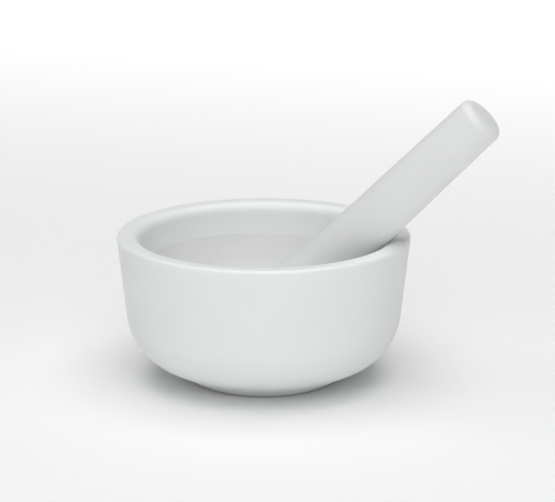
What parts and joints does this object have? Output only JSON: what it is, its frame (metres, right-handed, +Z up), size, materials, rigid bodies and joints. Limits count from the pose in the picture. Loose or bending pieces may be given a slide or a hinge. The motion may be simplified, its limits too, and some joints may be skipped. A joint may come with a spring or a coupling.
{
  "type": "mortar and pestle",
  "caption": "Small white porcelain mortar with a round bowl on a low foot ring, and a one-piece tapered pestle that rests in the bowl and leans on the rim.",
  "frame": {"origin": "centre of the mortar's foot, on the surface that the mortar stands on", "axes": "+Z up along the mortar's axis, +X towards the side of the rim that the pestle leans on, so the pestle's axis lies in the XZ plane"},
  "size_m": [0.1307, 0.1, 0.1009],
  "materials": {
    "mortar_porcelain": "white porcelain under a soft satin glaze; the foot ring that touches the table is bare",
    "pestle_porcelain": "white porcelain, satin glazed on the handle and bare on the round grinding head"
  },
  "bodies": {
    "mortar": {"mortar": "mortar_porcelain"},
    "pestle": {"pestle": "pestle_porcelain"}
  },
  "joints": [
    {"name": "pestle_lift", "type": "slide", "parent": "mortar", "child": "pestle", "axis": [0, 0, 1], "range_m": [0, 0.06]}
  ]
}
